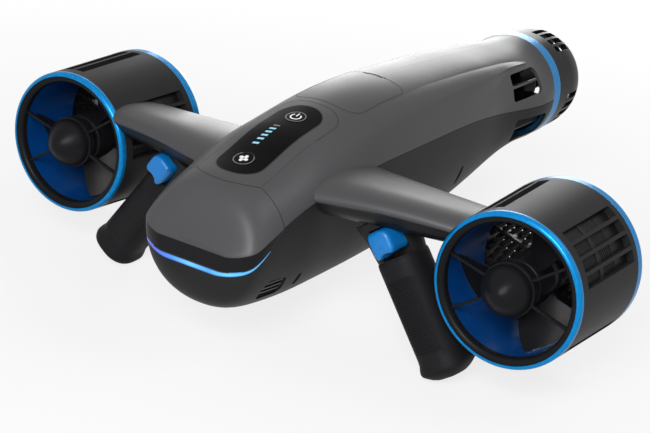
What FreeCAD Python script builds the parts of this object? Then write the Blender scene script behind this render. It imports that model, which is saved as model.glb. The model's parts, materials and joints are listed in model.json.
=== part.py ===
import FreeCAD, Part
import math
import os
from FreeCAD import Vector

# Underwater scooter with two side thrusters on arms and one thruster in the tail.
# Millimetres. The nose points to -Y, the tail to +Y and +Z is up. The origin is on the
# ground under the middle of the whole object; the rider's left hand side is +X (port).

# Whole object
nose_y = -307.0
tail_y = 307.0

# Side thrusters: a duct on each side, parallel to Y
duct_x = 226.0
duct_z = 104.0
duct_front_y = -197.5
duct_length = 115.0
duct_front_radius = 65.2
duct_rear_radius = 68.2
duct_inner_radius = 61.4
bore_radius = 55.8
liner_wall = 1.4
ring_depth = 6.0
lip_depth = 9.0
skirt_length = 6.0
rear_band = 10.2
port_vent_angle = 38.0
starboard_vent_angle = 20.0
vent_span = 46.0
vent_start = 15.0
vent_end = 98.0
vent_slots = 4
vent_fin = 3.0

# Propellers and their motors
blade_clearance = 1.4
blades = 3
hub_radius = 22.0
shaft_radius = 4.0
running_fit = 0.04
prop_start = 16.0
prop_end = 50.0
pod_radius = 21.0
stator_vanes = 5

# Tail thruster
tail_z = 134.7
tail_radius = 54.9
tail_ring_y = 234.8
tail_ring_length = 14.4
nozzle_end_radius = 47.2
nozzle_bore = 45.0
tail_vent_angle = 68.0
window_angle = 28.5
window_y = 150.0
lower_window_angle = 25.5
lower_window_y = 167.0
window_length = 57.0
window_half_span = 15.5
bulkhead_y = 138.0

# Hull shells
nose_front = -304.5
nose_wall_y = -300.0
wall = 3.2
skin = 2.0
seam = 0.4
nose_seam_y = -263.6
nose_seam_bulge = 13.4
panel_half_width = 32.0
panel_rear_y = -141.0
panel_corner = 20.0
glass_half_width = 22.0
glass_front_y = -266.0
glass_rear_y = -149.0
mode_button_y = -244.4
power_button_y = -172.0
button_radius = 9.2
button_travel = 0.8
button_proud = 0.4
lid_half_width = 34.0
lid_front_y = -134.0
lid_rear_y = -46.0
lid_gap = 0.5
lid_thickness = 2.6
strip_front_z = 89.0
strip_rise = 0.75
strip_half_height = 2.6
strip_end_y = -279.0

# Handles
handle_splay = 35.0
handle_top_x = 117.0
handle_y = -172.5
handle_top_z = 98.0
grip_width = 41.0
grip_depth = 45.0
grip_length = 99.0
foot_length = 15.0
grip_top = 6.0
trigger_width = 24.0
trigger_shift = 2.5
trigger_gap = 0.4
trigger_pin_radius = 1.5
trigger_pin_y = -14.0
trigger_pin_z = 18.5
trigger_rear_y = -9.0
spring_width = 4.0

origin = Vector(0, 0, 0)
along_y = Vector(0, 1, 0)


def save(name, shape):
    shape.exportStep("parts/" + name + ".step")


def rod_y(radius, start, end, x=0.0, z=0.0):
    return Part.makeCylinder(radius, end - start, Vector(x, start, z), along_y)


def tube_y(outer, inner, start, end, x=0.0, z=0.0):
    return rod_y(outer, start, end, x, z).cut(rod_y(inner, start - 1, end + 1, x, z))


def box(x0, x1, y0, y1, z0, z1):
    return Part.makeBox(x1 - x0, y1 - y0, z1 - z0, Vector(x0, y0, z0))


def spun(shape, angle):
    """The shape turned about the Y axis, from +X towards +Z."""
    turned = shape.copy()
    turned.rotate(origin, Vector(0, -1, 0), angle)
    return turned


def moved(shape, x, y, z):
    copy = shape.copy()
    copy.translate(Vector(x, y, z))
    return copy


def mirrored(shape):
    return shape.mirror(origin, Vector(1, 0, 0))


def joined(shapes):
    whole = shapes[0]
    if len(shapes) > 1:
        whole = whole.multiFuse(shapes[1:])
    return whole.removeSplitter()


def biggest(shape):
    return max(shape.Solids, key=lambda solid: solid.Volume)


def lathe(corners):
    """A ring or disc about the Y axis from its outline of (radius, y) corners."""
    points = [Vector(radius, y, 0) for radius, y in corners]
    face = Part.Face(Part.makePolygon(points + points[:1]))
    return face.revolve(origin, along_y, 360)


def lathe_edges(edges):
    face = Part.Face(Part.Wire(edges))
    return face.revolve(origin, along_y, 360)


def line(a, b):
    return Part.LineSegment(a, b).toShape()


def arc(a, b, c):
    return Part.Arc(a, b, c).toShape()


def rounded_outline(corners, radii, place):
    """A closed wire through the corners, each rounded to its radius."""
    count = len(corners)
    bends = []
    for i in range(count):
        here = Vector(corners[i][0], corners[i][1], 0)
        back = Vector(corners[i - 1][0], corners[i - 1][1], 0) - here
        ahead = Vector(corners[(i + 1) % count][0], corners[(i + 1) % count][1], 0) - here
        back.normalize()
        ahead.normalize()
        half = back.getAngle(ahead) / 2
        run = radii[i] / math.tan(half)
        middle = here + (back + ahead).normalize() * (radii[i] / math.sin(half) - radii[i])
        bends.append((here + back * run, middle, here + ahead * run))
    edges = []
    for i in range(count):
        start, middle, end = bends[i]
        following = bends[(i + 1) % count][0]
        if radii[i] > 0:
            edges.append(arc(place(start), place(middle), place(end)))
        if (following - end).Length > 1e-6:
            edges.append(line(place(end), place(following)))
    return Part.Wire(edges)


def plan_prism(corners, radii, bottom=130.0, top=260.0):
    """An upright prism on an outline seen from above."""
    wire = rounded_outline(corners, radii, lambda p: Vector(p.x, p.y, bottom))
    return Part.Face(wire).extrude(Vector(0, 0, top - bottom))


def side_prism(wire_edges, half_width=90.0):
    """A prism across the hull on an outline seen from the side."""
    face = Part.Face(Part.Wire(wire_edges))
    face.translate(Vector(-half_width, 0, 0))
    return face.extrude(Vector(2 * half_width, 0, 0))


roundness = 0.5523


def station(y, deck, half, crease, keel, over=0.0, under=0.0, belly=roundness,
            shoulder=roundness):
    """A cross-section of the hull at y: heights of deck, crease and keel, half the width at
    the crease, how far the sides lean in above and below it in degrees, and how full the
    belly and the shoulders are, from 0.55 for round up to 0.8."""
    return {"y": y, "deck": deck, "half": half, "crease": crease, "keel": keel,
            "over": over, "under": under, "belly": belly, "shoulder": shoulder}


tail_top = tail_z + tail_radius
tail_bottom = tail_z - tail_radius
hull_stations = [
    station(nose_y, 107.5, 31.5, 104.0, 79.5, 18.0, 2.0, 0.62),
    station(nose_front, 112.5, 43.0, 105.5, 69.5, 21.0, 2.0, 0.64),
    station(nose_wall_y, 120.5, 51.5, 108.5, 60.0, 24.0, 2.0, 0.67),
    station(-293.0, 137.0, 56.4, 112.0, 51.5, 26.0, 3.0, 0.71),
    station(-284.0, 149.0, 57.8, 116.5, 46.0, 26.0, 3.0, 0.74),
    station(-262.0, 158.2, 58.6, 125.0, 40.0, 22.0, 3.0, 0.77),
    station(-232.0, 167.0, 59.8, 134.5, 36.0, 17.0, 3.0, 0.78),
    station(-180.0, 182.3, 60.2, 143.0, 33.5, 12.0, 3.0, 0.79),
    station(-110.0, 195.0, 59.4, 146.5, 33.5, 9.0, 3.0, 0.78, 0.58),
    station(0.0, 197.5, 56.7, 147.0, 39.5, 6.0, 3.0, 0.75, 0.64),
    station(75.0, 195.0, 53.0, 144.5, 49.5, 3.0, 2.0, 0.68, 0.70),
    station(130.0, 191.5, 50.0, 139.0, 61.5, 0.0, 1.0, 0.60, 0.74),
    station(165.0, 190.0, 52.0, 136.0, 73.5, 0.0, 0.0, roundness, 0.68),
    station(190.0, tail_top, tail_radius, tail_z, tail_bottom),
    station(tail_ring_y, tail_top, tail_radius, tail_z, tail_bottom),
]


def section_wire(place, inset):
    """One cross-section of the hull, drawn inside the skin by the inset."""
    y = place["y"]
    half = place["half"] - inset
    deck = place["deck"] - inset
    keel = place["keel"] + inset
    crease = place["crease"]
    over = math.tan(math.radians(place["over"]))
    under = math.tan(math.radians(place["under"]))
    rise = place["shoulder"] * (deck - crease)
    drop = roundness * (crease - keel)
    side = Vector(half, y, crease)
    upper = [Vector(0, y, deck), Vector(place["shoulder"] * half, y, deck),
             side + Vector(-over * rise, 0, rise), side]
    lower = [side, side + Vector(-under * drop, 0, -drop),
             Vector(place["belly"] * half, y, keel), Vector(0, y, keel)]
    edges = []
    for poles in (upper, lower):
        curve = Part.BezierCurve()
        curve.setPoles(poles)
        edges.append(curve.toShape())
    for poles in (lower[::-1], upper[::-1]):
        curve = Part.BezierCurve()
        curve.setPoles([Vector(-p.x, p.y, p.z) for p in poles])
        edges.append(curve.toShape())
    return Part.Wire(edges)


def hull_form(inset=0.0, front=nose_y, rear=tail_ring_y):
    """The solid inside the hull's surface, or inside it by an inset."""
    stations = [s for s in hull_stations if front - 0.01 <= s["y"] <= rear + 0.01]
    return Part.makeLoft([section_wire(s, inset) for s in stations], True, False)


def crease_edge(offset, start_y, end_y):
    """The crease line along the hull's side, as seen from the side."""
    points = [Vector(0, s["y"], s["crease"] + offset) for s in hull_stations
              if start_y <= s["y"] <= end_y]
    curve = Part.BSplineCurve()
    curve.interpolate(points)
    return curve.toShape(), points[0], points[-1]


def above_crease(offset):
    """The space above the crease line, behind the nose seam."""
    curve, first, last = crease_edge(offset, nose_seam_y - 21, tail_ring_y)
    front = Vector(0, nose_seam_y - 40, first.z)
    rear = Vector(0, last.y + 5, last.z)
    sky = 260.0
    return side_prism([line(front, first), curve, line(last, rear),
                       line(rear, Vector(0, rear.y, sky)),
                       line(Vector(0, rear.y, sky), Vector(0, front.y, sky)),
                       line(Vector(0, front.y, sky), front)])


def seam_prism(shift, ahead):
    """The space ahead of or behind the bowed seam between nose cap and deck."""
    far = nose_y - 30 if ahead else tail_ring_y + 30
    left = Vector(-100, nose_seam_y + shift, 20)
    right = Vector(100, nose_seam_y + shift, 20)
    corner = Vector(panel_half_width, nose_seam_y + shift, 20)
    bow = Vector(0, nose_seam_y - nose_seam_bulge + shift, 20)
    mirror_corner = Vector(-panel_half_width, nose_seam_y + shift, 20)
    edges = [line(left, mirror_corner), arc(mirror_corner, bow, corner), line(corner, right),
             line(right, Vector(100, far, 20)), line(Vector(100, far, 20), Vector(-100, far, 20)),
             line(Vector(-100, far, 20), left)]
    return Part.Face(Part.Wire(edges)).extrude(Vector(0, 0, 240))


def strip_height(y):
    return strip_front_z + strip_rise * (y - (nose_y + 1.5))


def strip_region(grow=0.0):
    """The light strip seen from the side: a band that tapers to its rear end."""
    front = nose_y - 5
    high = Vector(0, front, strip_height(front) + strip_half_height + grow)
    low = Vector(0, front, strip_height(front) - strip_half_height - grow)
    end_high = Vector(0, strip_end_y, strip_height(strip_end_y) + 0.6 + grow)
    end_low = Vector(0, strip_end_y, strip_height(strip_end_y) - 0.6 - grow)
    return side_prism([line(high, end_high), line(end_high, end_low),
                       line(end_low, low), line(low, high)])


def nose_region(shift):
    """The space of the nose cap: over the light strip and ahead of the seam."""
    front = nose_y - 5
    crease_z = 124.0
    low_front = Vector(0, front, strip_height(front) + strip_half_height - shift)
    low_rear = Vector(0, strip_end_y, strip_height(strip_end_y) + 0.6 - shift)
    seam_low = Vector(0, nose_seam_y + shift, crease_z - shift)
    seam_high = Vector(0, nose_seam_y + shift, 260)
    front_high = Vector(0, front, 260)
    band = side_prism([line(low_front, low_rear), line(low_rear, seam_low),
                       line(seam_low, seam_high), line(seam_high, front_high),
                       line(front_high, low_front)])
    return band.common(seam_prism(shift, True))


def deck_height(y):
    """The height of the deck's middle line over a place along the hull."""
    plumb = Part.makeLine(Vector(0, y, tail_z), Vector(0, y, 260))
    return plumb.common(hull_outer).BoundBox.ZMax


def deck_normal(y):
    slope = (deck_height(y + 8) - deck_height(y - 8)) / 16
    return Vector(0, -slope, 1).normalize()


def panel_outline(shrink):
    front = nose_seam_y - 40
    half = panel_half_width - shrink
    rear = panel_rear_y - shrink
    return plan_prism([(-half, front), (half, front), (half, rear), (-half, rear)],
                      [0, 0, panel_corner - shrink, panel_corner - shrink])


def glass_outline(shrink):
    half = glass_half_width - shrink
    front = glass_front_y + shrink
    rear = glass_rear_y - shrink
    turn = half - 1.5
    return plan_prism([(-half, front), (half, front), (half, rear), (-half, rear)],
                      [turn, turn, turn, turn])


def lid_outline(shrink):
    half = lid_half_width - shrink
    front = lid_front_y + shrink
    rear = lid_rear_y - shrink
    front_turn = max(18 - shrink, 1)
    rear_turn = max(9 - shrink, 1)
    return plan_prism([(-half, front), (half, front), (half, rear), (-half, rear)],
                      [front_turn, front_turn, rear_turn, rear_turn])


def button_axis(y, radius, above, below):
    """A rod square to the deck at a button."""
    normal = deck_normal(y)
    start = Vector(0, y, deck_height(y)) - normal * below
    return Part.makeCylinder(radius, above + below, start, normal)


hull_outer = hull_form()
hull_inner = hull_form(wall, nose_wall_y)
under_skin = hull_form(skin, nose_front)
hinge_radius = 0.7
barrel_radius = lid_thickness / 2
hinge_y = lid_rear_y - barrel_radius - 0.4
hinge_z = deck_height(hinge_y) - barrel_radius


def hinge_rod(radius, half_length):
    return Part.makeCylinder(radius, 2 * half_length, Vector(-half_length, hinge_y, hinge_z),
                             Vector(1, 0, 0))


well_floor_z = 171.0
well_rim = 5.5
seal_depth = 1.2
strip_depth = 2.4
board_z = 140.0
screw_x = 45.0
screw_places = (-215.0, -60.0, 60.0)
screw_split_z = 138.0
screw_radius = 1.5
mount_y = -250.0
battery_floor_z = 64.0
battery_top_z = 127.0
battery_front_y = -122.0
battery_rear_y = 16.0
battery_half_width = 38.5
vent_depth = 1.2


def lid_well():
    """The tub under the charging lid, with a rim all round that the lid shuts on."""
    tub = lid_outline(-2.0).common(hull_outer)
    tub = tub.common(box(-60, 60, -160, -20, well_floor_z - 3, 260))
    return tub


def lid_well_room():
    room = lid_outline(well_rim).common(box(-60, 60, -160, -20, well_floor_z, 260))
    above_rim = lid_outline(0).cut(hull_form(lid_thickness + lid_gap, nose_front))
    groove = lid_outline(1.6).cut(lid_outline(3.6))
    groove = groove.cut(hull_form(lid_thickness + lid_gap + seal_depth, nose_front))
    return room.fuse([above_rim, groove])


def window_cut(angle, start):
    """One intake window of the tail thruster, from its front edge at y."""
    half = 52.0 * math.sin(math.radians(window_half_span))
    end = start + window_length
    corners = [(start, -half), (end, -half), (end, half), (start - 6, half)]
    wire = rounded_outline(corners, [5, 7, 9, 4], lambda p: Vector(25, p.x, p.y))
    cutter = Part.Face(wire).extrude(Vector(70, 0, 0))
    return moved(spun(cutter, angle), 0, 0, tail_z)


def window_vane(angle, start):
    """The guide vane in the middle of an intake window, set back from the surface."""
    plate = box(27, tail_radius - 4.5, start - 4, start + window_length + 2, -1.2, 1.2)
    return moved(spun(plate, angle), 0, 0, tail_z)


def nose_cap():
    return biggest(hull_outer.cut(hull_inner).common(nose_region(-seam / 2)))


def light_strip():
    """A light guide round the nose, thickest in the middle."""
    return biggest(hull_outer.cut(hull_form(strip_depth, nose_front)).common(strip_region()))


def upper_hull():
    shell = hull_outer.cut(hull_inner)
    shell = shell.common(above_crease(seam / 2)).common(seam_prism(seam / 2, False))
    panel_pocket = hull_outer.cut(under_skin).common(panel_outline(0))
    shell = shell.cut(panel_pocket)
    shell = shell.fuse(lid_well()).cut(lid_well_room())
    lugs = hinge_rod(barrel_radius, 9)
    feet = box(-9, 9, hinge_y + 0.4, lid_rear_y + 1, hinge_z - 3, hinge_z)
    gap = box(-4.3, 4.3, hinge_y - 5, lid_rear_y, hinge_z - 2.2, hinge_z + 9)
    shell = shell.fuse([lugs.cut(gap), feet.cut(gap)]).cut(hinge_rod(hinge_radius, 12))
    for y in (mode_button_y, power_button_y):
        shell = shell.cut(button_axis(y, 3.4, 5, 20))
    for angle in (window_angle, 180 - window_angle):
        shell = shell.cut(window_cut(angle, window_y)).fuse(window_vane(angle, window_y))
    posts = []
    for x in (-20, 20):
        for y in (-236.0, -180.0):
            post = Part.makeCylinder(3, 60, Vector(x, y, board_z), Vector(0, 0, 1))
            posts.append(post.common(hull_inner))
    for x, y in screw_points():
        post = Part.makeCylinder(5, 60, Vector(x, y, screw_split_z), Vector(0, 0, 1))
        post = post.common(hull_inner)
        posts.append(post.cut(Part.makeCylinder(screw_radius, 12, Vector(x, y, screw_split_z), Vector(0, 0, 1))))
    return biggest(shell.fuse(posts))


def screw_points():
    return [(side * screw_x, y) for side in (-1, 1) for y in screw_places]


def skin_below(x, y):
    """The height of the belly's skin at a place."""
    plumb = Part.makeLine(Vector(x, y, 0), Vector(x, y, screw_split_z))
    return plumb.common(hull_outer).BoundBox.ZMin


def screw_seat_z(x, y):
    """Where the underside of a screw's head sits: the head lies wholly inside the skin."""
    return skin_below(x + math.copysign(3.2, x), y) + 3.6


def lower_hull():
    shell = hull_outer.cut(hull_inner)
    shell = shell.cut(nose_region(seam / 2)).cut(light_strip())
    shell = shell.cut(above_crease(-seam / 2).common(seam_prism(-seam / 2, False)))
    for angle in (-lower_window_angle, 180 + lower_window_angle):
        shell = shell.cut(window_cut(angle, lower_window_y)).fuse(window_vane(angle, lower_window_y))
    for side in (-1, 1):
        shell = shell.cut(vent_block(side, 0.0, wall + 3))
    extras = []
    for y in (battery_front_y + 12, (battery_front_y + battery_rear_y) / 2, battery_rear_y - 16):
        extras.append(box(-60, 60, y - 2, y + 2, 20, battery_floor_z).common(hull_inner))
    extras.append(Part.makeCylinder(11, 16, Vector(0, mount_y, 35), Vector(0, 0, 1)).common(hull_inner))
    for x, y in screw_points():
        post = Part.makeCylinder(5, screw_split_z - 20, Vector(x, y, 20), Vector(0, 0, 1))
        extras.append(post.common(hull_inner))
    shell = shell.fuse(extras)
    shell = shell.cut(Part.makeCylinder(insert_radius, insert_mouth_z - 8, Vector(0, mount_y, 20), Vector(0, 0, 1)))
    for x, y in screw_points():
        seat = screw_seat_z(x, y)
        shell = shell.cut(Part.makeCylinder(3.4, seat - 20, Vector(x, y, 20), Vector(0, 0, 1)))
        shell = shell.cut(Part.makeCylinder(screw_radius, 130, Vector(x, y, 20), Vector(0, 0, 1)))
    return biggest(shell)


def hull_screws():
    """Six screws from below that hold the two hull shells together."""
    screws = []
    for x, y in screw_points():
        seat = screw_seat_z(x, y)
        head = Part.makeCylinder(3.2, 2.4, Vector(x, y, seat - 2.4), Vector(0, 0, 1))
        shank = Part.makeCylinder(screw_radius, screw_split_z + 10 - seat, Vector(x, y, seat), Vector(0, 0, 1))
        drive = Part.makeCylinder(1.4, 1.4, Vector(x, y, seat - 2.4), Vector(0, 0, 1))
        screws.append(head.fuse(shank).cut(drive).removeSplitter())
    return Part.makeCompound([screw.Solids[0] for screw in screws])


def vent_block(side, shrink, depth):
    """The room of a water inlet low on one side of the nose, down to a depth."""
    corners = [(-272.0, 77.0), (-237.0, 72.0), (-234.0, 55.0), (-268.0, 57.0)]
    middle = FreeCAD.Vector(-252.0, 66.0, 0)
    pulled = []
    for y, z in corners:
        toward = (Vector(y, z, 0) - middle).normalize() * shrink
        pulled.append((y - toward.x, z - toward.y))
    wire = rounded_outline(pulled, [8, 5, 5, 5], lambda p: Vector(0, p.x, p.y))
    block = Part.Face(wire).extrude(Vector(90, 0, 0))
    if side < 0:
        block = mirrored(block)
    return block.common(hull_outer).cut(hull_form(depth, nose_wall_y))


def nose_vent(side):
    """The louvred insert that closes a water inlet, set a little below the skin."""
    plate = vent_block(side, 0.0, vent_depth + 2.4).cut(vent_block(side, -2.0, vent_depth))
    for i in range(4):
        base = 58.6 + 4.6 * i
        slot = [Vector(0, -267.0 - 0.6 * i, base + 1.4), Vector(0, -239.0, base - 1.2),
                Vector(0, -239.0, base + 1.2), Vector(0, -267.0 - 0.6 * i, base + 3.8)]
        blade_gap = Part.Face(Part.makePolygon(slot + slot[:1])).extrude(Vector(side * 90, 0, 0))
        plate = plate.cut(blade_gap)
    return biggest(plate)


insert_radius = 6.0
insert_mouth_z = 38.2
thread_radius = 3.175
thread_depth = 9.0


def accessory_mount():
    """A threaded insert in the belly for a camera or a light."""
    body = Part.makeCylinder(insert_radius, 12, Vector(0, mount_y, insert_mouth_z), Vector(0, 0, 1))
    hole = Part.makeCylinder(thread_radius, thread_depth, Vector(0, mount_y, insert_mouth_z), Vector(0, 0, 1))
    return body.cut(hole)


def panel_bezel():
    plate = hull_outer.cut(under_skin).common(panel_outline(seam / 2))
    plate = plate.common(seam_prism(seam / 2, False)).cut(glass_outline(0))
    return biggest(plate)


def panel_glass():
    plate = hull_outer.cut(under_skin).common(glass_outline(0.1))
    for y in (mode_button_y, power_button_y):
        plate = plate.cut(button_axis(y, button_radius + 0.3, 10, 10))
    return biggest(plate)


def button(y):
    """A cap that follows the deck, on a stem that reaches its switch."""
    cap = hull_outer.cut(hull_form(1.3, nose_front)).common(button_axis(y, button_radius, 10, 10))
    normal = deck_normal(y)
    cap = moved(cap, normal.x * button_proud, normal.y * button_proud, normal.z * button_proud)
    stem = button_axis(y, 3.0, -0.6, 8.0)
    return biggest(cap.fuse(stem))


def charge_lid():
    """The cover of the charging socket, with a hinge barrel at the middle of its rear edge."""
    lid = lid_outline(lid_gap).common(hull_outer).cut(hull_form(lid_thickness, nose_front))
    lid = lid.cut(box(-60, 60, hinge_y + 0.8, lid_rear_y + 5, 150, 260))
    lid = lid.cut(box(-9.4, 9.4, hinge_y - 2.2, lid_rear_y + 5, 150, 260))
    barrel = hinge_rod(barrel_radius, 4.0)
    strap = box(-4.0, 4.0, hinge_y - 4.0, hinge_y, hinge_z - 1.2, hinge_z + 1.2)
    lid = lid.fuse([barrel, strap]).cut(hinge_rod(hinge_radius + running_fit, 12))
    return biggest(lid)


def lid_seal():
    """The rubber ring in the rim's groove, a hair smaller than the groove."""
    ring = lid_outline(1.65).cut(lid_outline(3.55))
    ring = ring.common(hull_form(lid_thickness + lid_gap, nose_front)).cut(
        hull_form(lid_thickness + lid_gap + seal_depth - 0.03, nose_front))
    return biggest(ring)


def charge_socket():
    middle = (lid_front_y + lid_rear_y) / 2
    flange = Part.makeCylinder(12, 2, Vector(0, middle, well_floor_z), Vector(0, 0, 1))
    barrel = Part.makeCylinder(9, 9, Vector(0, middle, well_floor_z), Vector(0, 0, 1))
    bore = Part.makeCylinder(7, 8, Vector(0, middle, well_floor_z + 3), Vector(0, 0, 1))
    socket = flange.fuse(barrel).cut(bore)
    for i in range(3):
        turn = math.radians(90 + 120 * i)
        pin = Part.makeCylinder(1.0, 6, Vector(3.5 * math.cos(turn), middle + 3.5 * math.sin(turn),
                                               well_floor_z + 2.5), Vector(0, 0, 1))
        socket = socket.fuse(pin)
    return socket.removeSplitter()


def battery_pack():
    case = box(-battery_half_width, battery_half_width, battery_front_y, battery_rear_y,
               battery_floor_z, battery_top_z)
    return case.makeFillet(12, [e for e in case.Edges if abs(e.tangentAt(0).y) > 0.9])


def control_board():
    board = box(-30, 30, -258, -166, board_z - 1.6, board_z)
    parts = [board]
    for y in (mode_button_y, power_button_y):
        normal = deck_normal(y)
        tip = Vector(0, y, deck_height(y)) - normal * (8.0 + button_travel + 0.35)
        parts.append(box(-5, 5, tip.y - 5, tip.y + 5, board_z, tip.z - 1.3))
    return joined(parts)


def motor_controller():
    return box(-32, 32, bulkhead_y - 26, bulkhead_y, 88, 128)


def rear_bulkhead():
    slab = box(-80, 80, bulkhead_y, bulkhead_y + 4, 20, 240).common(hull_inner)
    return biggest(slab)


def tail_ring():
    return moved(tube_y(tail_radius, nozzle_bore + 3, tail_ring_y, tail_ring_y + tail_ring_length),
                 0, 0, tail_z)


def nozzle_outline():
    start = tail_ring_y + tail_ring_length
    outer = tail_radius - 0.7
    shoulder = tail_y - 24
    edges = [line(Vector(nozzle_bore, tail_ring_y, 0), Vector(nozzle_bore + 3, tail_ring_y, 0)),
             line(Vector(nozzle_bore + 3, tail_ring_y, 0), Vector(nozzle_bore + 3, start, 0)),
             line(Vector(nozzle_bore + 3, start, 0), Vector(outer, start, 0)),
             line(Vector(outer, start, 0), Vector(outer - 0.8, shoulder, 0))]
    curve = Part.BezierCurve()
    curve.setPoles([Vector(outer - 0.8, shoulder, 0), Vector(outer - 1.4, tail_y - 12, 0),
                    Vector(nozzle_end_radius + 3.0, tail_y, 0), Vector(nozzle_end_radius, tail_y, 0)])
    edges.append(curve.toShape())
    edges.append(line(Vector(nozzle_end_radius, tail_y, 0), Vector(nozzle_bore - 0.6, tail_y, 0)))
    edges.append(line(Vector(nozzle_bore - 0.6, tail_y, 0), Vector(nozzle_bore, tail_ring_y, 0)))
    return edges


def slot_fan(radius, start, end, centre, span, slots, fin, inner):
    """Slots side by side round a drum, with thin fins left between them."""
    cuts = []
    pitch = span / slots
    for i in range(slots):
        angle = centre - span / 2 + pitch * (i + 0.5)
        width = 2 * radius * math.sin(math.radians(pitch / 2)) - fin
        cutter = box(inner, radius + 12, start, end, -width / 2, width / 2)
        cuts.append(spun(cutter, angle))
    return cuts


def tail_nozzle():
    body = lathe_edges(nozzle_outline())
    for turn in range(4):
        for cutter in slot_fan(52, 268.5, 298.5, tail_vent_angle + 90 * turn, 43, 4, 3.0, 36):
            body = body.cut(cutter)
    return moved(body, 0, 0, tail_z)


def tail_guard():
    """A spoked guard across the rear of the tail thruster."""
    rim = tube_y(nozzle_bore - 0.6, nozzle_bore - 4, 290, 296)
    hub = tube_y(13, 5, 288, 298).fuse(rod_y(13, 296, 298))
    pieces = [rim, hub, tube_y(30, 27.6, 290, 294)]
    for i in range(6):
        pieces.append(spun(box(10, nozzle_bore - 2, 290, 294, -1.4, 1.4), 30 + 60 * i))
    return moved(joined(pieces), 0, 0, tail_z)


def tail_motor():
    can = rod_y(23, bulkhead_y + 4, 205).fuse(rod_y(26, bulkhead_y + 4, bulkhead_y + 9))
    nose = lathe([(0, 205), (23, 205), (16, 216), (0, 216)])
    body = can.fuse(nose).cut(rod_y(shaft_radius + running_fit, 190, 230))
    return moved(biggest(body.removeSplitter()), 0, 0, tail_z)


def blade(root_radius, tip_radius, start, end, root_angle, tip_angle, root_chord, tip_chord):
    """One propeller blade along +X, lofted through twisted sections and trimmed round."""
    count = 4
    wires = []
    middle = (start + end) / 2
    for i in range(count):
        share = i / (count - 1)
        radius = root_radius - 3 + share * (tip_radius + 4 - root_radius + 3)
        pitch = math.radians(root_angle + share * (tip_angle - root_angle))
        chord = root_chord + (tip_chord - root_chord) * math.sin(share * math.pi / 2)
        thick = 3.4 - 1.6 * share
        sweep = 5.0 * share * share
        across = Vector(0, math.sin(pitch), math.cos(pitch))
        normal = Vector(0, math.cos(pitch), -math.sin(pitch))
        centre = Vector(radius, middle, sweep)
        camber = 0.07 * chord
        front = centre - across * (chord / 2)
        rear = centre + across * (chord / 2)
        edge = normal * 0.3
        pressure = Part.Arc(front - edge, centre + normal * (camber - thick / 2), rear - edge)
        suction = Part.Arc(rear + edge, centre + normal * (camber + thick / 2), front + edge)
        wires.append(Part.Wire([pressure.toShape(), line(rear - edge, rear + edge),
                                suction.toShape(), line(front + edge, front - edge)]))
    solid = Part.makeLoft(wires, True, False)
    return solid.common(rod_y(tip_radius, start - 20, end + 20))


def propeller(radius, start, end, angle):
    """A hub with three wide blades, bored for its shaft."""
    hub = rod_y(hub_radius, start + 4, end - 2)
    hub = hub.makeFillet(2.0, [e for e in hub.Edges if isinstance(e.Curve, Part.Circle)])
    one = blade(hub_radius, radius, start, end, 50.0, 27.0, 30.0, 56.0)
    pieces = [hub] + [spun(one, angle + 120 * i) for i in range(blades)]
    body = joined(pieces).cut(rod_y(shaft_radius, start - 5, end + 5))
    return biggest(body)


def place_duct(shape, side):
    return moved(shape, side * duct_x, duct_front_y, duct_z)


def duct_cone():
    """The outside of a duct, as a solid."""
    return lathe([(0, 0), (duct_front_radius, 0), (duct_front_radius, ring_depth),
                  (duct_rear_radius, duct_length - rear_band), (duct_rear_radius, duct_length),
                  (0, duct_length)])


def duct_shell(vent_angle):
    """The duct's outer wall with four groups of vents and the ribs that hold the liner."""
    rear = duct_length - rear_band
    spigot = duct_inner_radius + 2.6
    body = lathe([(duct_inner_radius, ring_depth), (duct_front_radius, ring_depth),
                  (duct_rear_radius, rear), (spigot, rear), (spigot, rear + 7),
                  (duct_inner_radius, rear + 7)])
    for turn in range(4):
        centre = vent_angle + 90 * turn
        for cutter in slot_fan(66.0, vent_start, vent_end, centre, vent_span, vent_slots, vent_fin,
                               duct_inner_radius - 6):
            body = body.cut(cutter)
    liner_outer = bore_radius + liner_wall
    hoop_a = tube_y(duct_inner_radius + 0.4, liner_outer, 46, 52)
    rings = [hoop_a]
    for turn in range(4):
        rib = box(liner_outer - 0.3, duct_inner_radius + 1, lip_depth + skirt_length, liner_end, -3, 3)
        rib = rib.cut(rod_y(liner_outer, 0, duct_length))
        rings.append(spun(rib, vent_angle + 45 + 90 * turn))
    return biggest(joined([body] + rings))


liner_end = 73.0


def front_ring():
    """The bright ring round the duct's mouth."""
    r_in = duct_inner_radius
    r_out = duct_front_radius
    turn = r_out - r_in
    edges = [line(Vector(r_in, ring_depth, 0), Vector(r_in, 0.4, 0)),
             arc(Vector(r_in, 0.4, 0), Vector(r_in + turn * 0.7071, 0.4 + turn * 0.2929, 0),
                 Vector(r_out, 0.4 + turn, 0)),
             line(Vector(r_out, 0.4 + turn, 0), Vector(r_out, ring_depth, 0)),
             line(Vector(r_out, ring_depth, 0), Vector(r_in, ring_depth, 0))]
    return lathe_edges(edges)


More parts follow.
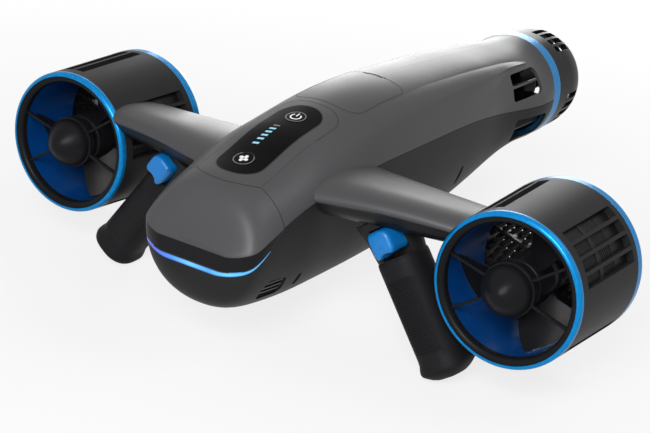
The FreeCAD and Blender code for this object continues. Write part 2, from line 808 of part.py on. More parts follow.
def front_guard():
    """The duct's rounded lip, four thin spokes and the bullet in the middle."""
    r = duct_inner_radius
    mouth = [arc(Vector(r, 1.4, 0), Vector((r + bore_radius) / 2 + 0.8, 1.2, 0), Vector(bore_radius, 6, 0)),
             line(Vector(bore_radius, 6, 0), Vector(bore_radius, lip_depth, 0)),
             line(Vector(bore_radius, lip_depth, 0), Vector(r - 2, lip_depth, 0)),
             line(Vector(r - 2, lip_depth, 0), Vector(r - 2, lip_depth + skirt_length, 0)),
             line(Vector(r - 2, lip_depth + skirt_length, 0), Vector(r, lip_depth + skirt_length, 0)),
             line(Vector(r, lip_depth + skirt_length, 0), Vector(r, 1.4, 0))]
    lip = lathe_edges(mouth)
    rim_radius = 23.2
    bullet = Part.BezierCurve()
    bullet.setPoles([Vector(0, -9, 0), Vector(9, -9, 0), Vector(19, -3, 0), Vector(21.4, 6, 0)])
    hub = lathe_edges([bullet.toShape(), line(Vector(21.4, 6, 0), Vector(rim_radius, 6.4, 0)),
                       line(Vector(rim_radius, 6.4, 0), Vector(rim_radius, 12, 0)),
                       line(Vector(rim_radius, 12, 0), Vector(0, 12, 0)),
                       line(Vector(0, 12, 0), Vector(0, -9, 0))])
    pieces = [lip, hub]
    for angle in (-17, 36, 165, 213):
        pieces.append(spun(box(rim_radius - 2, bore_radius + 2, 6.0, 9.0, -1.1, 1.1), angle))
    return joined(pieces)


def rear_ring():
    rear = duct_length - rear_band
    inner = duct_inner_radius + 2.6
    r = duct_rear_radius
    edges = [line(Vector(inner, rear, 0), Vector(r, rear, 0)),
             line(Vector(r, rear, 0), Vector(r, duct_length - 3, 0)),
             arc(Vector(r, duct_length - 3, 0), Vector(r - 0.9, duct_length - 0.9, 0),
                 Vector(r - 3, duct_length, 0)),
             line(Vector(r - 3, duct_length, 0), Vector(duct_inner_radius, duct_length, 0)),
             line(Vector(duct_inner_radius, duct_length, 0), Vector(duct_inner_radius, rear + 7, 0)),
             line(Vector(duct_inner_radius, rear + 7, 0), Vector(inner, rear + 7, 0)),
             line(Vector(inner, rear + 7, 0), Vector(inner, rear, 0))]
    return lathe_edges(edges)


def duct_liner():
    return tube_y(bore_radius + liner_wall, bore_radius, lip_depth, liner_end)


def prop_shaft():
    return rod_y(shaft_radius, prop_start + 6, 72)


def side_motor():
    can = lathe([(0, 53), (15, 53), (pod_radius - 2, 57), (pod_radius - 2, 92), (0, 92)])
    return can.cut(rod_y(shaft_radius + running_fit, 50, 73))


def stator():
    """Vanes behind the propeller that carry the motor pod."""
    hoop = tube_y(duct_inner_radius, duct_inner_radius - 2, 74, 98)
    pod = tube_y(pod_radius, pod_radius - 2, 60, 92)
    cone = Part.BezierCurve()
    cone.setPoles([Vector(pod_radius, 92, 0), Vector(pod_radius - 1, 101, 0),
                   Vector(10, 107, 0), Vector(0, 107, 0)])
    tail = lathe_edges([line(Vector(0, 92, 0), Vector(pod_radius, 92, 0)), cone.toShape(),
                        line(Vector(0, 107, 0), Vector(0, 92, 0))])
    pieces = [hoop, pod, tail]
    for i in range(stator_vanes):
        vane = box(pod_radius - 1, duct_inner_radius - 1, 76, 96, -1.3, 1.3)
        vane.rotate(Vector(0, 86, 0), Vector(1, 0, 0), 14)
        pieces.append(spun(vane, 90 + 360 / stator_vanes * i))
    return joined(pieces)


def arm_section(x, front, rear, low_front, high, low_rear, nose_round):
    """One cross-section of an arm: a thick leading edge that thins to the rear."""
    corners = [(front, low_front), (front, high - nose_round), (front + nose_round * 1.4, high),
               (rear - 6, high - 1.5), (rear, low_rear + 4), (rear - 8, low_rear)]
    radii = [5, nose_round * 0.6, nose_round * 0.8, 5, 3, 5]
    return rounded_outline(corners, radii, lambda p: Vector(x, p.x, p.y))


def arm_form():
    sections = [arm_section(36, -231, -113, 116, 155.0, 127, 13),
                arm_section(90, -217, -121, 119, 147.5, 125, 10),
                arm_section(130, -204, -123, 118, 145.0, 124, 9),
                arm_section(duct_x - 50, -194, -124, 116, 144.0, 123, 9)]
    return Part.makeLoft(sections, True, False)


def handle_frame(shape):
    """From the handle's own frame, where it hangs down from the origin, to its place."""
    placed = shape.copy()
    placed.rotate(origin, Vector(0, 1, 0), -handle_splay)
    placed.translate(Vector(handle_top_x, handle_y, handle_top_z))
    return placed


def oval(width, depth, z, shift=0.0):
    """A rounded oblong across the handle at a height."""
    half_w, half_d = width / 2, depth / 2
    turn = half_w * 0.92
    return rounded_outline([(-half_w, -half_d), (half_w, -half_d), (half_w, half_d), (-half_w, half_d)],
                           [turn] * 4, lambda p: Vector(p.x + shift, p.y, z))


def neck_form():
    """The neck between grip and arm, in the handle's frame, which widens upwards."""
    return Part.makeLoft([oval(grip_width - 1, grip_depth - 1, -grip_top), oval(grip_width, grip_depth, 10),
                          oval(grip_width + 8, grip_depth + 6, 24, 2),
                          oval(grip_width + 22, grip_depth + 20, 40, 4)], True, False)


def handle_core():
    """The tongue that runs down inside the grip."""
    return Part.makeLoft([oval(16, 24, -grip_length + 4), oval(19, 27, 0)], True, False)


def arm():
    """Arm, neck and the tongue for the grip: one moulding."""
    neck = handle_frame(neck_form())
    neck = neck.common(box(40, 220, -280, -60, 30, 128))
    body = arm_form().fuse([neck, handle_frame(handle_core())])
    body = body.cut(hull_outer).cut(place_duct(duct_cone(), 1))
    body = body.cut(handle_frame(trigger_room())).cut(trigger_pin())
    return biggest(body)


def trigger_room():
    """The slot in the neck that the trigger and its spring work in."""
    half = trigger_width / 2 + trigger_gap
    return moved(box(-half, half, -45, trigger_rear_y + 4, -0.5, 26.0), trigger_shift, 0, 0)


def spring_room():
    """The notch in the trigger's back that the spring sits in."""
    half = spring_width / 2 + 0.6
    return moved(box(-half, half, trigger_pin_y - 4.2, trigger_rear_y + 4, trigger_pin_z - 4.2, 30),
                 trigger_shift, 0, 0)


def trigger_pin_rod(radius, half_length):
    return Part.makeCylinder(radius, 2 * half_length,
                             Vector(trigger_shift - half_length, trigger_pin_y, trigger_pin_z),
                             Vector(1, 0, 0))


def trigger():
    """A blue finger lever, hung from a pin across the top of its slot."""
    corners = [(-35.0, 21.5), (-26.0, 23.5), (trigger_rear_y, 23.0), (trigger_rear_y, 6.0), (-21.0, 2.5),
               (-34.0, 7.0)]
    wire = rounded_outline(corners, [4, 6, 2, 2, 3, 4],
                           lambda p: Vector(trigger_shift - trigger_width / 2, p.x, p.y))
    lever = Part.Face(wire).extrude(Vector(trigger_width, 0, 0))
    lever = lever.cut(trigger_pin_rod(trigger_pin_radius + running_fit, trigger_width))
    return handle_frame(lever.cut(spring_room()))


def trigger_pin():
    return handle_frame(trigger_pin_rod(trigger_pin_radius, trigger_width / 2 + 4))


def trigger_spring():
    """The return spring: a coil round the pin with one leg on the slot's rear wall."""
    coil = trigger_pin_rod(3.0, spring_width / 2).cut(trigger_pin_rod(trigger_pin_radius, spring_width))
    leg = moved(box(-spring_width / 2, spring_width / 2, trigger_pin_y, trigger_rear_y + 4,
                    trigger_pin_z + 2.2, trigger_pin_z + 3.0), trigger_shift, 0, 0)
    return handle_frame(coil.fuse(leg).removeSplitter())


def grip():
    """The ribbed rubber sleeve."""
    sleeve = Part.makeLoft([oval(grip_width, grip_depth, -grip_length + foot_length),
                            oval(grip_width - 1.5, grip_depth - 2, -55),
                            oval(grip_width, grip_depth, -grip_top)], True, False)
    sleeve = sleeve.cut(handle_core())
    return handle_frame(biggest(sleeve))


def grip_foot():
    """The flared foot that closes the grip, domed below and flat where it stands."""
    foot = Part.makeLoft([oval(grip_width + 0.5, grip_depth + 0.5, -grip_length + foot_length),
                          oval(grip_width + 5, grip_depth + 5, -grip_length + 4),
                          oval(grip_width + 5, grip_depth + 5, -grip_length - 2),
                          oval(grip_width - 7, grip_depth - 7, -grip_length - 8.5)], True, False)
    foot = foot.cut(handle_core())
    ground = box(0, 400, -300, 0, 0, 200)
    return biggest(handle_frame(foot).common(ground))


def build():
    os.makedirs("parts", exist_ok=True)
    save("upper_hull", upper_hull())
    save("lower_hull", lower_hull())
    save("nose_cap", nose_cap())
    save("light_strip", light_strip())
    save("panel_bezel", panel_bezel())
    save("panel_glass", panel_glass())
    save("mode_button", button(mode_button_y))
    save("power_button", button(power_button_y))
    save("charge_lid", charge_lid())
    save("lid_hinge_pin", hinge_rod(hinge_radius, 9))
    save("lid_seal", lid_seal())
    save("charge_socket", charge_socket())
    save("hull_screws", hull_screws())
    save("port_nose_vent", nose_vent(1))
    save("starboard_nose_vent", nose_vent(-1))
    save("accessory_mount", accessory_mount())
    save("battery_pack", battery_pack())
    save("control_board", control_board())
    save("motor_controller", motor_controller())
    save("rear_bulkhead", rear_bulkhead())
    save("tail_ring", tail_ring())
    save("tail_nozzle", tail_nozzle())
    save("tail_guard", tail_guard())
    save("tail_motor", tail_motor())
    save("tail_shaft", moved(rod_y(shaft_radius, 195, 262), 0, 0, tail_z))
    save("tail_propeller", moved(propeller(nozzle_bore - blade_clearance, 226, 262, 80), 0, 0, tail_z))
    port_arm = arm()
    port_grip = grip()
    port_foot = grip_foot()
    port_trigger = trigger()
    port_pin = trigger_pin()
    port_spring = trigger_spring()
    for name, shape in (("arm", port_arm), ("grip", port_grip), ("grip_foot", port_foot),
                        ("trigger", port_trigger), ("trigger_pin", port_pin),
                        ("trigger_spring", port_spring)):
        save("port_" + name, shape)
        save("starboard_" + name, mirrored(shape))
    for name, side, vents in (("port", 1, port_vent_angle), ("starboard", -1, starboard_vent_angle)):
        save(name + "_duct_shell", place_duct(duct_shell(vents), side))
        save(name + "_front_ring", place_duct(front_ring(), side))
        save(name + "_front_guard", place_duct(front_guard(), side))
        save(name + "_rear_ring", place_duct(rear_ring(), side))
        save(name + "_liner", place_duct(duct_liner(), side))
        save(name + "_stator", place_duct(stator(), side))
        save(name + "_motor", place_duct(side_motor(), side))
        save(name + "_prop_shaft", place_duct(prop_shaft(), side))
        save(name + "_propeller", place_duct(propeller(bore_radius - blade_clearance, prop_start,
                                                       prop_end, 70), side))


build()
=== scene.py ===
import json
import math

import bmesh
import bpy
from mathutils import Matrix, Vector
from mathutils.bvhtree import BVHTree


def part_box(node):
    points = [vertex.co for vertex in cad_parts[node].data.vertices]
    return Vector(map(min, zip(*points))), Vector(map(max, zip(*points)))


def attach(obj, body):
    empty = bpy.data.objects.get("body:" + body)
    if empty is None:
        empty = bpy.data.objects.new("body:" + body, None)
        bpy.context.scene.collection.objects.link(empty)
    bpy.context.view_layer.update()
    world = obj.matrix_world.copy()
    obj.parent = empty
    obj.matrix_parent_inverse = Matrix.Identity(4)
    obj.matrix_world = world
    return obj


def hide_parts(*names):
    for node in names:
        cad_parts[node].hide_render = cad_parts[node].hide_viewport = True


# Underwater scooter: finishes, panel marks, seams, shoulders, handles, duct pieces, camera and
# studio. Lengths are named in millimetres, those of camera, lights and floor in metres.

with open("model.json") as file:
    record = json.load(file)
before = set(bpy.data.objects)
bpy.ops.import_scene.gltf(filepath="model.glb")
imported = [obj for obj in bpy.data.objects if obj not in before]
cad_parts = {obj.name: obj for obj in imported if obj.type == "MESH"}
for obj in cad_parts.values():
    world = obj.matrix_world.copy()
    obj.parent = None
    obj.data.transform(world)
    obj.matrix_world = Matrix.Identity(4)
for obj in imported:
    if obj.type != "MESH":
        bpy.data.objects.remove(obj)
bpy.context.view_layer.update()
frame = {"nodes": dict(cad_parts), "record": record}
nodes = frame["nodes"]
print("frame loaded:", len(nodes), "nodes")

mm = 0.001
sides = (("port", 1), ("starboard", -1))
duct = {"x": 226.0, "z": 104.0}


# Shader building

class Socket:
    # an output of a node; arithmetic on it adds Math nodes
    def __init__(self, graph, out):
        self.graph = graph
        self.out = out

    def __add__(self, other):
        return self.graph.math("ADD", self, other)

    def __radd__(self, other):
        return self.graph.math("ADD", other, self)

    def __sub__(self, other):
        return self.graph.math("SUBTRACT", self, other)

    def __rsub__(self, other):
        return self.graph.math("SUBTRACT", other, self)

    def __mul__(self, other):
        return self.graph.math("MULTIPLY", self, other)

    def __rmul__(self, other):
        return self.graph.math("MULTIPLY", other, self)

    def __truediv__(self, other):
        return self.graph.math("DIVIDE", self, other)


class Graph:
    # the node tree of a material or of the world
    def __init__(self, tree):
        self.tree = tree

    def feed(self, socket, value):
        if isinstance(value, Socket):
            self.tree.links.new(value.out, socket)
        else:
            socket.default_value = value

    def node(self, kind, settings=None, inputs=None, out=0):
        made = self.tree.nodes.new("ShaderNode" + kind)
        for key, value in (settings or {}).items():
            if key == "stops":
                ramp = made.color_ramp.elements
                while len(ramp) < len(value):
                    ramp.new(0.5)
                for element, (place, shade) in zip(ramp, value):
                    element.position = place
                    element.color = (*shade, 1.0)
            else:
                setattr(made, key, value)
        for key, value in (inputs or {}).items():
            self.feed(made.inputs[key], value)
        return Socket(self, made.outputs[out])

    def math(self, operation, first, second=0.0):
        return self.node("Math", {"operation": operation}, {0: first, 1: second})

    def span(self, value, low, high, toLow, toHigh):
        return self.node("MapRange", inputs={0: value, 1: low, 2: high, 3: toLow, 4: toHigh})

    def seenRays(self):
        # 1 for camera, glossy and transmission rays
        seen, glossy, through = (self.node("LightPath", out=kind) for kind in (
            "Is Camera Ray", "Is Glossy Ray", "Is Transmission Ray"))
        return self.math("MAXIMUM", self.math("MAXIMUM", seen, glossy), through)


class Finish(Graph):
    # a material with one Principled shader
    def __init__(self, name, **constants):
        self.material = bpy.data.materials.new(name)
        self.material.use_nodes = True
        super().__init__(self.material.node_tree)
        self.shader = self.tree.nodes["Principled BSDF"]
        self.where = self.node("TexCoord", out="Object")
        for socket, value in constants.items():
            self.feed(self.shader.inputs[socketNames[socket]], value)

    def axis(self, name):
        return self.node("SeparateXYZ", inputs={0: self.where}, out=name)

    def noise(self, scale, detail, stretch=(1.0, 1.0, 1.0)):
        place = self.node("Mapping", inputs={"Vector": self.where, "Scale": stretch})
        return self.node("TexNoise", inputs={"Vector": place, "Scale": scale, "Detail": detail})

    def blend(self, share, first, second):
        first = first if isinstance(first, Socket) else (*first, 1.0)
        second = second if isinstance(second, Socket) else (*second, 1.0)
        return self.node("Mix", {"data_type": "RGBA"},
                         {"Factor": share, 6: first, 7: second}, out=2)

    def colour(self, value):
        self.feed(self.shader.inputs["Base Color"], value)

    def glow(self, value):
        self.feed(self.shader.inputs["Emission Color"], value)

    def roughness(self, value):
        self.feed(self.shader.inputs["Roughness"], value)

    def bump(self, height, distance):
        soft = self.node("Bevel", {"samples": bevel["samples"]}, {"Radius": bevel["radius"] * mm})
        lump = self.node("Bump", inputs={"Height": height, "Distance": distance * mm,
                                         "Strength": 1.0, "Normal": soft})
        self.feed(self.shader.inputs["Normal"], lump)


socketNames = {"metallic": "Metallic", "glow": "Emission Strength", "level": "Specular IOR Level"}
bevel = {"radius": 0.5, "samples": 4}
noiseLow = 0.3
noiseHigh = 0.7


def paintedMetal(name="paintedMetal"):
    # satin dark grey paint with a fine metallic flake
    look = {"dark": (0.052, 0.052, 0.054), "light": (0.070, 0.070, 0.073), "metallic": 0.12,
            "level": 0.1, "flake": (5200.0, 1.0), "cloud": (14.0, 3.0), "cloudShare": 0.6,
            "flakeShare": 0.4, "sheenFlake": 0.5, "noiseLow": 0.5, "noiseHigh": 1.0,
            "sheenLow": 0.34, "sheenHigh": 0.42, "depth": 0.012}
    paint = Finish(name, metallic=look["metallic"], level=look["level"])
    cloud = paint.noise(*look["cloud"])
    flake = paint.noise(*look["flake"])
    share = cloud * look["cloudShare"] + flake * look["flakeShare"]
    paint.shade = paint.blend(share, look["dark"], look["light"])
    paint.colour(paint.shade)
    paint.roughness(paint.span(cloud + flake * look["sheenFlake"], look["noiseLow"],
                               look["noiseHigh"], look["sheenLow"], look["sheenHigh"]))
    paint.bump(flake, look["depth"])
    return paint


def blackBelow(paint, along, look):
    # black below a line, which is given in rows of the place along it and z
    line = look["line"]
    first, last = line[0][0], line[-1][0]
    reach = look["highZ"] - look["lowZ"]
    stops = [((place - first) / (last - first), ((z - look["lowZ"]) / reach,) * 3)
             for place, z in line]
    share = paint.span(along, first * mm, last * mm, 0.0, 1.0)
    level = paint.node("ValToRGB", {"stops": stops}, {0: share})
    above = paint.axis("Z") - (level * (reach * mm) + look["lowZ"] * mm)
    black = paint.span(above, -look["under"] * mm, look["over"] * mm, 1.0, 0.0)
    paint.colour(paint.blend(black, paint.shade, look["black"]))
    return paint


def nosePaint():
    # the nose cap is gunmetal above its crease and black below it; the crease's line runs along y
    look = {"black": (0.008, 0.008, 0.009), "lowZ": 100.0, "highZ": 130.0, "under": 0.15,
            "over": 0.15, "line": [(-307, 104.0), (-304.5, 105.5), (-300, 108.5), (-293, 112.0),
                                   (-284, 116.5), (-262, 125.0)]}
    paint = paintedMetal("nosePaint")
    return blackBelow(paint, paint.axis("Y"), look)


def armPaintAndPaintedShade():
    # the arms are painted above their front edge and black below it, as painted shade for the
    # under-face that turns downwards; the edge's line runs outwards
    look = {"black": (0.007, 0.007, 0.008), "lowZ": 130.0, "highZ": 150.0, "under": 1.4,
            "over": 0.0, "line": [(46.0, 137.0), (110.0, 141.2), (185.0, 138.5)]}
    paint = paintedMetal("armPaintAndPaintedShade")
    return blackBelow(paint, paint.math("ABSOLUTE", paint.axis("X")), look)


def moulded(name, look):
    # plastic or rubber with a fine grain and slow changes of shade
    finish = Finish(name, level=look["level"])
    grain = finish.noise(*look["grain"])
    cloud = finish.noise(*look["cloud"])
    finish.colour(finish.blend(cloud, look["dark"], look["light"]))
    finish.roughness(finish.span(grain + cloud, 2 * noiseLow, 2 * noiseHigh,
                                 look["sheenLow"], look["sheenHigh"]))
    finish.bump(grain, look["depth"])
    return finish


def blackShell():
    # satin black of the hull bottom, the ducts and the necks
    return moulded("blackShell", {
        "dark": (0.012, 0.012, 0.013), "light": (0.020, 0.020, 0.021), "level": 0.05,
        "grain": (2600.0, 2.0), "cloud": (9.0, 3.0), "sheenLow": 0.34, "sheenHigh": 0.48,
        "depth": 0.03})


def blackPlastic():
    # smoother black of guards, propellers and stators
    return moulded("blackPlastic", {
        "dark": (0.005, 0.005, 0.006), "light": (0.010, 0.010, 0.011), "level": 0.06,
        "grain": (1800.0, 2.0), "cloud": (16.0, 2.0), "sheenLow": 0.26, "sheenHigh": 0.38,
        "depth": 0.015})


def gripRubber():
    return moulded("gripRubber", {
        "dark": (0.006, 0.006, 0.007), "light": (0.012, 0.012, 0.013), "level": 0.08,
        "grain": (1500.0, 3.0), "cloud": (35.0, 3.0), "sheenLow": 0.50, "sheenHigh": 0.66,
        "depth": 0.05})


def blueAnodised():
    # anodised aluminium with turning marks along its rim
    look = {"deep": (0.001, 0.145, 0.38), "bright": (0.004, 0.215, 0.52), "metallic": 0.35,
            "level": 0.12, "turning": (900.0, 2.0, (0.15, 1.0, 0.15)),
            "sheenLow": 0.22, "sheenHigh": 0.32, "depth": 0.01}
    ring = Finish("blueAnodised", metallic=look["metallic"], level=look["level"])
    turned = ring.noise(*look["turning"])
    ring.colour(ring.blend(turned, look["deep"], look["bright"]))
    ring.roughness(ring.span(turned, noiseLow, noiseHigh, look["sheenLow"], look["sheenHigh"]))
    ring.bump(turned, look["depth"])
    return ring


def bluePlastic():
    look = {"deep": (0.001, 0.115, 0.36), "bright": (0.004, 0.165, 0.47), "level": 0.4,
            "cloud": (60.0, 2.0), "grain": (2200.0, 1.0), "sheenLow": 0.26, "sheenHigh": 0.36,
            "depth": 0.012}
    plastic = Finish("bluePlastic", level=look["level"])
    cloud = plastic.noise(*look["cloud"])
    grain = plastic.noise(*look["grain"])
    plastic.colour(plastic.blend(cloud, look["deep"], look["bright"]))
    plastic.roughness(plastic.span(grain, noiseLow, noiseHigh,
                                   look["sheenLow"], look["sheenHigh"]))
    plastic.bump(grain, look["depth"])
    return plastic


def linerPlastic():
    # the liner is blue inside and black where it turns outwards
    look = {"deep": (0.000, 0.030, 0.150), "bright": (0.001, 0.050, 0.200),
            "black": (0.006, 0.006, 0.007), "level": 0.2, "cloud": (60.0, 2.0),
            "blueRadius": 56.4, "soft": 0.1, "sheenLow": 0.28, "sheenHigh": 0.36}
    plastic = Finish("linerPlastic", level=look["level"])
    cloud = plastic.noise(*look["cloud"])
    blue = plastic.blend(cloud, look["deep"], look["bright"])
    sideways = plastic.math("ABSOLUTE", plastic.axis("X")) - duct["x"] * mm
    upwards = plastic.axis("Z") - duct["z"] * mm
    radius = plastic.math("SQRT", sideways * sideways + upwards * upwards)
    outside = plastic.span(radius, (look["blueRadius"] - look["soft"]) * mm,
                           (look["blueRadius"] + look["soft"]) * mm, 0.0, 1.0)
    plastic.colour(plastic.blend(outside, blue, look["black"]))
    plastic.roughness(plastic.span(cloud, noiseLow, noiseHigh,
                                   look["sheenLow"], look["sheenHigh"]))
    return plastic


def panelGlass():
    # black gloss glass, faintly smeared
    look = {"dark": (0.002, 0.002, 0.002), "light": (0.004, 0.004, 0.004), "level": 0.03,
            "smear": (30.0, 3.0, (1.0, 0.3, 1.0)), "sheenLow": 0.12, "sheenHigh": 0.22,
            "depth": 0.005}
    glass = Finish("panelGlass", level=look["level"])
    smear = glass.noise(*look["smear"])
    glass.colour(glass.blend(smear, look["dark"], look["light"]))
    glass.roughness(glass.span(smear, noiseLow, noiseHigh, look["sheenLow"], look["sheenHigh"]))
    glass.bump(smear, look["depth"])
    return glass


def litFinish(name, low, high):
    # a lit mark with slight changes of brightness
    look = {"unlit": (0.1, 0.1, 0.1, 1.0), "cloud": (500.0, 2.0), "sheenLow": 0.25,
            "sheenHigh": 0.35}
    lit = Finish(name, glow=1.0)
    cloud = lit.noise(*look["cloud"])
    lit.colour(look["unlit"])
    lit.glow(lit.blend(cloud, low, high))
    lit.roughness(lit.span(cloud, noiseLow, noiseHigh, look["sheenLow"], look["sheenHigh"]))
    return lit


def lightGuide():
    # lit strip: violet blue on starboard, cyan on port, a bright core between deep blue edges
    look = {"stops": [(0.0, (0.03, 0.02, 0.42)), (0.16, (0.05, 0.10, 0.75)),
                      (0.34, (0.06, 0.32, 1.0)), (0.50, (0.16, 0.66, 1.0)),
                      (0.66, (0.07, 0.42, 1.0)), (0.82, (0.14, 0.72, 1.0)),
                      (1.0, (0.06, 0.45, 0.95))],
            "edge": (0.0, 0.02, 0.40), "unlit": (0.01, 0.02, 0.08, 1.0), "frontZ": 89.0,
            "frontY": -305.5, "rise": 0.75, "halfHeight": 2.6, "core": 0.35,
            "grain": (400.0, 2.0), "sheenLow": 0.2, "sheenHigh": 0.3}
    low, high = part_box("light_strip")
    guide = Finish("lightGuide", glow=1.0)
    across = guide.span(guide.axis("X"), low.x, high.x, 0.0, 1.0)
    shade = guide.node("ValToRGB", {"stops": look["stops"]}, {0: across})
    middle = (guide.axis("Y") - look["frontY"] * mm) * look["rise"] + look["frontZ"] * mm
    away = guide.math("ABSOLUTE", guide.axis("Z") - middle) / (look["halfHeight"] * mm)
    rim = guide.span(away, look["core"], 1.0, 0.0, 1.0)
    guide.colour(look["unlit"])
    guide.glow(guide.blend(rim, shade, look["edge"]))
    guide.roughness(guide.span(guide.noise(*look["grain"]), noiseLow, noiseHigh,
                               look["sheenLow"], look["sheenHigh"]))
    return guide


def polishedSteel():
    look = {"dark": (0.42, 0.42, 0.43), "light": (0.58, 0.58, 0.60),
            "brush": (1200.0, 2.0, (1.0, 0.1, 1.0)), "sheenLow": 0.22, "sheenHigh": 0.38,
            "depth": 0.01}
    steel = Finish("polishedSteel", metallic=1.0)
    brushed = steel.noise(*look["brush"])
    steel.colour(steel.blend(brushed, look["dark"], look["light"]))
    steel.roughness(steel.span(brushed, noiseLow, noiseHigh,
                               look["sheenLow"], look["sheenHigh"]))
    steel.bump(brushed, look["depth"])
    return steel


def brass():
    look = {"dark": (0.55, 0.36, 0.12), "light": (0.70, 0.48, 0.18), "brush": (900.0, 2.0),
            "sheenLow": 0.25, "sheenHigh": 0.4}
    metal = Finish("brass", metallic=1.0)
    brushed = metal.noise(*look["brush"])
    metal.colour(metal.blend(brushed, look["dark"], look["light"]))
    metal.roughness(metal.span(brushed, noiseLow, noiseHigh,
                               look["sheenLow"], look["sheenHigh"]))
    return metal


def plainFinish(name, dark, light, sheenLow, sheenHigh, cloud=(120.0, 2.0)):
    # for hidden pieces and small marks
    finish = Finish(name)
    change = finish.noise(*cloud)
    finish.colour(finish.blend(change, dark, light))
    finish.roughness(finish.span(change, noiseLow, noiseHigh, sheenLow, sheenHigh))
    return finish


finishes = {
    "gunmetal_shell": paintedMetal(),
    "black_shell": blackShell(),
    "black_plastic": blackPlastic(),
    "blue_anodised": blueAnodised(),
    "blue_plastic": bluePlastic(),
    "grip_rubber": gripRubber(),
    "panel_glass": panelGlass(),
    "button_cap": panelGlass(),
    "light_guide": lightGuide(),
    "steel": polishedSteel(),
    "motor_can": plainFinish("motorCan", (0.05, 0.05, 0.055), (0.09, 0.09, 0.10), 0.3, 0.45),
    "brass_insert": brass(),
    "battery_wrap": plainFinish("batteryWrap", (0.01, 0.04, 0.12), (0.02, 0.06, 0.18), 0.35, 0.5),
    "circuit_board": plainFinish("circuitBoard", (0.005, 0.05, 0.02), (0.01, 0.09, 0.04),
                                 0.4, 0.6),
}
ownFinishes = {
    "nose_cap": nosePaint(),
    "port_liner": linerPlastic(),
    "starboard_liner": linerPlastic(),
}
# the arm finish holds painted shade: black under the front edge
armShadeAndPaintFinish = armPaintAndPaintedShade()
ringFinish = plainFinish("buttonRing", (0.10, 0.10, 0.105), (0.14, 0.14, 0.145), 0.28, 0.36)
markFinish = litFinish("whiteMark", (0.62, 0.64, 0.66), (0.80, 0.82, 0.84))
barFinish = litFinish("litBar", (0.10, 0.45, 0.68), (0.25, 0.66, 0.85))
dimFinish = plainFinish("dimBar", (0.045, 0.060, 0.058), (0.065, 0.085, 0.080), 0.3, 0.4)
# painted shade for the seams: near-black strips
seamShadeFinish = plainFinish("seamShadeBlack", (0.002, 0.002, 0.002), (0.004, 0.004, 0.004), 0.6, 0.7)
print("finishes made:", len(finishes) + len(ownFinishes))


def dressNodes():
    slots = {entry["node"]: entry["material_slot"] for entry in frame["record"]["subparts"]}
    for name, node in nodes.items():
        node.data.materials.clear()
        finish = ownFinishes.get(name, finishes[slots[name]])
        node.data.materials.append(finish.material)


dressNodes()
print("nodes dressed")


# Geometry helpers

def addPiece(name, vertices, faces, slot, body="root", finish=None, crease=35.0):
    mesh = bpy.data.meshes.new(name)
    mesh.from_pydata([tuple(v) for v in vertices], [], faces)
    shape = bmesh.new()
    shape.from_mesh(mesh)
    bmesh.ops.recalc_face_normals(shape, faces=shape.faces)
    shape.to_mesh(mesh)
    shape.free()
    mesh.set_sharp_from_angle(angle=math.radians(crease))
    mesh.materials.append((finish or finishes[slot]).material)
    piece = bpy.data.objects.new(name, mesh)
    bpy.context.scene.collection.objects.link(piece)
    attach(piece, body)
    return piece


def loft(rings):
    # closed solid through rings of the same count, with a fan at each end
    count = len(rings[0])
    vertices = [point for ring in rings for point in ring]
    faces = []
    for row in range(len(rings) - 1):
        for k in range(count):
            after = (k + 1) % count
            faces.append((row * count + k, row * count + after,
                          (row + 1) * count + after, (row + 1) * count + k))
    for row in (0, len(rings) - 1):
        middle = sum((Vector(p) for p in rings[row]), Vector()) / count
        vertices.append(middle)
        hub = len(vertices) - 1
        for k in range(count):
            faces.append((row * count + k, row * count + (k + 1) % count, hub))
    return vertices, faces


def smoothClosed(points, count):
    # closed curve through points, evenly spaced in its parameter
    curve = []
    total = len(points)
    for step in range(count):
        place = step * total / count
        k = int(place)
        share = place - k
        a, b, c, d = (Vector(points[(k + shift) % total]) for shift in (-1, 0, 1, 2))
        curve.append(0.5 * ((2 * b) + (c - a) * share + (2 * a - 5 * b + 4 * c - d) * share ** 2
                            + (3 * b - a - 3 * c + d) * share ** 3))
    return curve


class Surface:
    # the outer skin of some nodes, for laying pieces on it
    def __init__(self, *names):
        vertices = []
        faces = []
        for name in names:
            mesh = nodes[name].data
            start = len(vertices)
            vertices.extend(v.co.copy() for v in mesh.vertices)
            faces.extend([start + k for k in face.vertices] for face in mesh.polygons)
        self.tree = BVHTree.FromPolygons(vertices, faces)

    def above(self, x, y):
        overhead = 500.0
        return self.beside(Vector((x, y, overhead)), Vector((0, 0, -1)))

    def beside(self, origin, direction):
        return self.tree.ray_cast(origin * mm, direction.normalized())[:2]


def layPatch(surface, outline, proud, sunk):
    # thin closed plate over the outline given in x and y, following the surface from above
    middle = sum((Vector(p) for p in outline), Vector((0.0, 0.0))) / len(outline)
    top = []
    bottom = []
    for x, y in list(outline) + [tuple(middle)]:
        point, normal = surface.above(x, y)
        top.append(point + normal * proud * mm)
        bottom.append(point - normal * sunk * mm)
    count = len(outline)
    shift = count + 1
    faces = []
    for k in range(count):
        after = (k + 1) % count
        faces.append((k, after, count))
        faces.append((shift + after, shift + k, shift + count))
        faces.append((after, k, shift + k, shift + after))
    return top + bottom, faces


def layBand(surface, inner, outer, closed, proud, sunk):
    # thin closed strip between two lines given in x and y, following the surface from above
    vertices = []
    for pair in zip(inner, outer):
        for x, y in pair:
            point, normal = surface.above(x, y)
            vertices.append(point + normal * proud * mm)
            vertices.append(point - normal * sunk * mm)
    return vertices, stripFaces(len(inner), closed)


